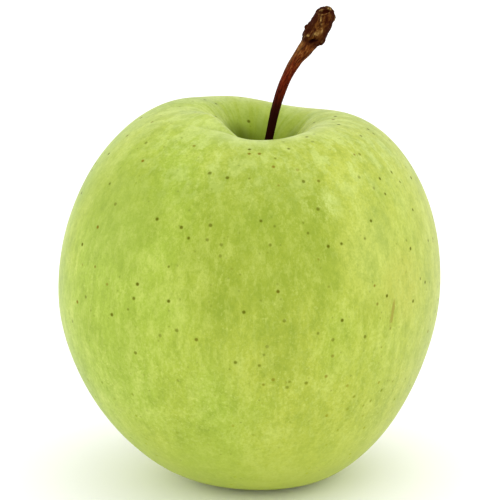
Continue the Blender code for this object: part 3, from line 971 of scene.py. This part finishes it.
def ridge_highlight_and_darker_patch(tree, colour, place, mottle):
    """A painted highlight along the ridge of the right shoulder, and a darker green patch on the left one."""
    # Painted highlight along the right shoulder's ridge, broken up by the mottle
    ridge_highlight = step_up(tree, near_place(tree, place, *RIDGE_HIGHLIGHT), *FADES["ridge_highlight"])
    patches = step_up(tree, mottle, *FADES["ridge_highlight_patches"])
    colour = washed(tree, colour, PALE_BLOOM_AND_SHEEN, ridge_highlight, patches, COVER["ridge_highlight"])
    # Darker green on the left shoulder
    darker_left = step_up(tree, near_place(tree, place, *DARKER_LEFT_SPOT), *FADES["darker_left"])
    return washed(tree, colour, SHADE_GREEN, darker_left, COVER["darker_left"])


def ends_of_the_fruit(tree, colour, place, across, back, height, radius):
    """The foot, painted light near the floor, a painted highlight on the front lip, the cavity's green with
    painted shade on its back wall, deep down and in its creases, a painted stem shadow, and the basin. Also
    gives the cavity.
    """
    colour = washed(tree, colour, FOOT_GREEN, step_up(tree, height, *HEIGHTS["foot"]), COVER["foot"])
    # Painted light on the lowest few millimetres, making up for the floor's shade
    painted_light_near_floor = step_up(tree, height, *HEIGHTS["painted_light_near_floor"])
    colour = washed(tree, colour, PAINTED_LIGHT_GREEN, painted_light_near_floor, COVER["painted_light_near_floor"])
    high_up = step_up(tree, height, *HEIGHTS["high_up"])
    # Painted highlight along the crest of the front lip
    outside = step_up(tree, radius, *RADII["lip_outside"])
    inside = step_up(tree, radius, *RADII["lip_inside"])
    front = step_up(tree, back, *BACK["front_lip"])
    colour = washed(tree, colour, PALE_BLOOM_AND_SHEEN, outside, inside, high_up, COVER["lip"], front)
    # Painted shade on the cavity's back wall, stronger right of the stem
    behind = step_up(tree, back, *BACK["back_wall_shade"])
    wall = step_up(tree, radius, *RADII["back_wall_shade"])
    beside = sums(tree, "MULTIPLY", step_up(tree, across, *ACROSS["right_of_stem"]), 0.45)
    beside = sums(tree, "ADD", 0.55, beside)
    colour = washed(tree, colour, CAVITY_AND_SHADE_GREEN, behind, wall, high_up, beside, COVER["back_wall_shade"])
    # The cavity's darker green, partly its own colour and partly painted shade
    past_left_wall = step_up(tree, across, *ACROSS["past_left_wall"])
    cavity = sums(tree, "MULTIPLY", step_up(tree, radius, *RADII["cavity"]), high_up, past_left_wall)
    colour = washed(tree, colour, CAVITY_AND_SHADE_GREEN, cavity, COVER["cavity"])
    # Painted shade deep in the cavity
    deep = step_up(tree, radius, *RADII["deep"])
    colour = washed(tree, colour, DEEP_SHADE_GREEN, deep, high_up, past_left_wall, COVER["deep"])
    # Painted shade in the cavity's creases and grooves
    crease_shades = step_up(tree, read_value(tree, "crease_shade", "Fac"), *FADES["crease_shades"])
    colour = washed(tree, colour, CREASE_SHADE_GREEN, crease_shades, COVER["crease_shades"])
    stem_shade = step_up(tree, near_place(tree, place, *STEM_SHADE), *FADES["stem_shade"])
    colour = washed(tree, colour, CREASE_SHADE_GREEN, stem_shade, COVER["stem_shade"])
    basin, low = step_up(tree, radius, *RADII["basin"]), step_up(tree, height, *HEIGHTS["basin"])
    return washed(tree, colour, BASIN_RUSSET, basin, low, COVER["basin"]), cavity


def skin_material():
    """Waxy green skin: ripening blotches, streaks down from the stem, pale flecks and small dark dots, with
    painted shade and painted highlights laid over them.
    """
    material, tree, shader = new_material("waxy_skin")
    place = millimetres(tree)
    across, back, height = parted(tree, place)
    down, radius = down_the_flank(tree, place, height)
    upright = drawn_out(tree, place, MOTTLE_DRAWN_OUT)
    mottle = clouds(tree, upright, *PATTERNS["mottle"])
    colour, unshaded = ripening(tree, place, down, across, mottle)
    colour = streaks_and_flecks(tree, colour, place, down, across, height, upright, unshaded)
    colour = ridge_highlight_and_darker_patch(tree, colour, place, mottle)
    colour, cavity = ends_of_the_fruit(tree, colour, place, across, back, height, radius)

    torn = sums(tree, "MULTIPLY", clouds(tree, place, *PATTERNS["torn"]), SCRATCH_RAGGED)
    torn = sums(tree, "ADD", near_place(tree, place, *SCRATCH), torn)
    scratch = step_up(tree, torn, *FADES["scratch"])
    colour = washed(tree, colour, SCRATCH_TAN, scratch, COVER["scratch"])
    dots, strength, browning = lenticels(tree, place, *DOTS)
    dot_colour = tint(tree, step_up(tree, browning, *FADES["russet_dots"]), DOT_OLIVE, DOT_RUSSET)
    strength = step_up(tree, strength, *FADES["dots"], smooth=False)
    shown = sums(tree, "MULTIPLY", dots, strength, COVER["dots"])
    colour = washed(tree, colour, dot_colour, shown, step_up(tree, height, *HEIGHTS["dots"]))
    specks, faint, _ = lenticels(tree, place, *SPECKS)
    colour = washed(tree, colour, DOT_OLIVE, specks, faint, COVER["specks"])
    tree.links.new(colour, shader.inputs["Base Color"])

    shader.inputs["Roughness"].default_value = WAX_ROUGHNESS
    dull = sums(tree, "MAXIMUM", sums(tree, "MULTIPLY", cavity, SHINE_LOST_IN_CAVITY), shown)
    shine = sums(tree, "MULTIPLY", sums(tree, "SUBTRACT", 1.0, dull), WAX_SHINE)
    tree.links.new(shine, shader.inputs["Specular IOR Level"])
    shader.inputs["Coat Weight"].default_value = 0.04
    shader.inputs["Coat Roughness"].default_value = 0.25
    pores = sums(tree, "SUBTRACT", clouds(tree, place, *PATTERNS["pores"]), dots)
    tree.links.new(relief(tree, pores, PORE_DEPTH), shader.inputs["Normal"])
    return material


# Stem's material

FOOT_BLACK = (0.016, 0.0022, 0.0012, 1)
SHANK_RED = (0.135, 0.014, 0.003, 1)
SHANK_BROWN = (0.148, 0.038, 0.006, 1)
BARK_BROWN = (0.034, 0.006, 0.001, 1)
BARK_UMBER = (0.160, 0.060, 0.011, 1)
BARK_TAN = (0.430, 0.270, 0.080, 1)
# Dark red of the scar, also laid on as painted shade in the cleft and the bark's hollows
SCAR_AND_SHADE_RED = (0.036, 0.004, 0.001, 1)

# Places along the stem from its foot, in millimetres, between which each colour of the shank fades in
ALONG_STEM = {"red": (15, 24), "brown": (24, 31), "light": (20, 31)}

# The two values between which each layer of the stem fades in, then how strongly each one covers it
STEM_FADES = {
    "dark": (0.54, 0.40), "light": (0.54, 0.70), "left_highlight": (-0.5, -1.1), "front": (-0.75, -1.75),
    "patches": (0.43, 0.57), "flakes": (0.36, 0.60), "tan": (0.60, 1.02), "painted_cleft_shade": (-0.5, -1.3),
}
STEM_COVER = {"dark": 0.85, "left_highlight": 0.2, "light": 0.60, "patches": 0.9, "tan": 0.9, "hollow": 0.85,
              "painted_cleft_shade": 0.95}
STRANDS_DRAWN_OUT = 0.12
FLAKES_DRAWN_OUT = 0.4
WEAR_AND_HIGHLIGHT_SHARE = 0.5
BARK_RELIEF_SHARE = 0.7
BARK_RELIEF = 0.06 * MM


def stem_material():
    """Dry wood: black red at the foot, red brown fibres up the shank, tan bark on the head, with painted
    highlights and painted shade.
    """
    material, tree, shader = new_material("dry_stem")
    straight = read_value(tree, "unbent", "Vector")
    across, back, along = parted(tree, straight)
    strands = clouds(tree, drawn_out(tree, straight, STRANDS_DRAWN_OUT), *PATTERNS["strands"])
    colour = tint(tree, step_up(tree, along, *ALONG_STEM["red"]), FOOT_BLACK, SHANK_RED)
    colour = tint(tree, step_up(tree, along, *ALONG_STEM["brown"]), colour, SHANK_BROWN)
    dark = step_up(tree, strands, *STEM_FADES["dark"])
    colour = washed(tree, colour, FOOT_BLACK, dark, STEM_COVER["dark"])
    # Painted highlight down the shank's left side, laid on in tan with the light strands
    edge = sums(tree, "MULTIPLY", step_up(tree, across, *STEM_FADES["left_highlight"]), STEM_COVER["left_highlight"])
    light = sums(tree, "ADD", step_up(tree, strands, *STEM_FADES["light"]), edge)
    upper = step_up(tree, along, *ALONG_STEM["light"])
    colour = washed(tree, colour, BARK_TAN, light, upper, STEM_COVER["light"])
    headed, hollow, wear_and_highlight = (read_value(tree, name, "Fac") for name in ("headed", "hollow", "wear_and_highlight"))
    colour = tint(tree, headed, colour, BARK_BROWN)
    flaky = drawn_out(tree, straight, FLAKES_DRAWN_OUT)
    bark = clouds(tree, flaky, *PATTERNS["bark"])
    front = sums(tree, "ADD", back, clouds(tree, straight, *PATTERNS["towards_front"]))
    front = step_up(tree, front, *STEM_FADES["front"])
    patches = step_up(tree, bark, *STEM_FADES["patches"])
    colour = washed(tree, colour, BARK_UMBER, front, patches, headed, STEM_COVER["patches"])
    tan = sums(tree, "ADD", sums(tree, "MULTIPLY", wear_and_highlight, WEAR_AND_HIGHLIGHT_SHARE), bark)
    tan = step_up(tree, tan, *STEM_FADES["tan"])
    flakes = step_up(tree, clouds(tree, flaky, *PATTERNS["flakes"]), *STEM_FADES["flakes"])
    colour = washed(tree, colour, BARK_TAN, tan, flakes, headed, STEM_COVER["tan"])
    # The scar's own dark red, with painted shade in the cleft and the bark's hollows
    colour = washed(tree, colour, SCAR_AND_SHADE_RED, hollow, STEM_COVER["hollow"])
    # Painted shade, near black, deep in the cleft
    painted_cleft_shade = step_up(tree, wear_and_highlight, *STEM_FADES["painted_cleft_shade"])
    colour = washed(tree, colour, FOOT_BLACK, painted_cleft_shade, STEM_COVER["painted_cleft_shade"])
    tree.links.new(colour, shader.inputs["Base Color"])
    shader.inputs["Roughness"].default_value = 0.55
    shader.inputs["Specular IOR Level"].default_value = 0.02
    bumps = sums(tree, "ADD", strands, sums(tree, "MULTIPLY", bark, BARK_RELIEF_SHARE))
    tree.links.new(relief(tree, bumps, BARK_RELIEF), shader.inputs["Normal"])
    return material


# Calyx's material and the floor's

CALYX_GREY = (0.150, 0.105, 0.058, 1)
CALYX_DARK = (0.045, 0.026, 0.013, 1)
VEINS_DRAWN_OUT = 0.25
VEIN_FADE = (0.38, 0.66)
VEIN_RELIEF = 0.08 * MM


def calyx_material():
    """Dry grey brown sepals with darker veins and edges."""
    material, tree, shader = new_material("dry_calyx")
    veins = clouds(tree, drawn_out(tree, millimetres(tree), VEINS_DRAWN_OUT), *PATTERNS["veins"])
    colour = tint(tree, step_up(tree, veins, *VEIN_FADE), CALYX_DARK, CALYX_GREY)
    tree.links.new(colour, shader.inputs["Base Color"])
    shader.inputs["Roughness"].default_value = 0.85
    tree.links.new(relief(tree, veins, VEIN_RELIEF), shader.inputs["Normal"])
    return material


def floor_material():
    """A plain matt white."""
    material, _, shader = new_material("pale_floor")
    shader.inputs["Base Color"].default_value = (0.97, 0.97, 0.97, 1)
    shader.inputs["Roughness"].default_value = 0.9
    return material


# Stage

def make_floor():
    """A round pale floor, which is not part of the object."""
    bm = bmesh.new()
    bmesh.ops.create_circle(bm, cap_ends=True, segments=FLOOR_SIDES, radius=FLOOR_RADIUS)
    floor = finished_piece("floor", bm, floor_material())


def soft_light(name, place, aim, size, power):
    """A square area light that faces a point."""
    data = bpy.data.lights.new(name, "AREA")
    data.size = size
    data.energy = power
    light = bpy.data.objects.new(name, data)
    light.location = place
    light.rotation_euler = (Vector(aim) - Vector(place)).to_track_quat("-Z", "Y").to_euler()
    bpy.context.scene.collection.objects.link(light)


def light_the_stage():
    """An even white room and three soft boxes."""
    world = bpy.data.worlds.new("white_room")
    world.use_nodes = True
    world.node_tree.nodes["Background"].inputs["Color"].default_value = (1, 1, 1, 1)
    world.node_tree.nodes["Background"].inputs["Strength"].default_value = ROOM_LIGHT
    bpy.context.scene.world = world
    for name, (place, power) in SOFT_BOXES.items():
        soft_light(name, place, (0, 0, AIM_HEIGHT), SOFT_BOX_WIDTH, power)


def make_camera(to_middle):
    """The photo's view: from the front, a little from above."""
    aim = Vector((to_middle.x, to_middle.y, AIM_HEIGHT))
    data = bpy.data.cameras.new("camera")
    data.lens = CAMERA_LENS
    data.clip_start, data.clip_end = CAMERA_SEES
    camera = bpy.data.objects.new("camera", data)
    camera.location = aim + CAMERA_REACH * Vector((0, -cos(CAMERA_RISE), sin(CAMERA_RISE)))
    camera.rotation_euler = (pi / 2 - CAMERA_RISE, 0, 0)
    bpy.context.scene.collection.objects.link(camera)
    bpy.context.scene.camera = camera


skin, to_middle = make_skin(skin_material())
stem = make_stem(stem_material(), to_middle)
calyx = make_calyx(calyx_material(), to_middle)
for piece, solid, finish in ((skin, "fruit", "apple_skin"), (stem, "stem", "stem_wood"),
                             (calyx, "calyx", "dried_calyx")):
    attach(piece, "root")
    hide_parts(solid)

make_floor()
light_the_stage()
make_camera(to_middle)
bpy.context.scene.view_settings.view_transform = "Standard"
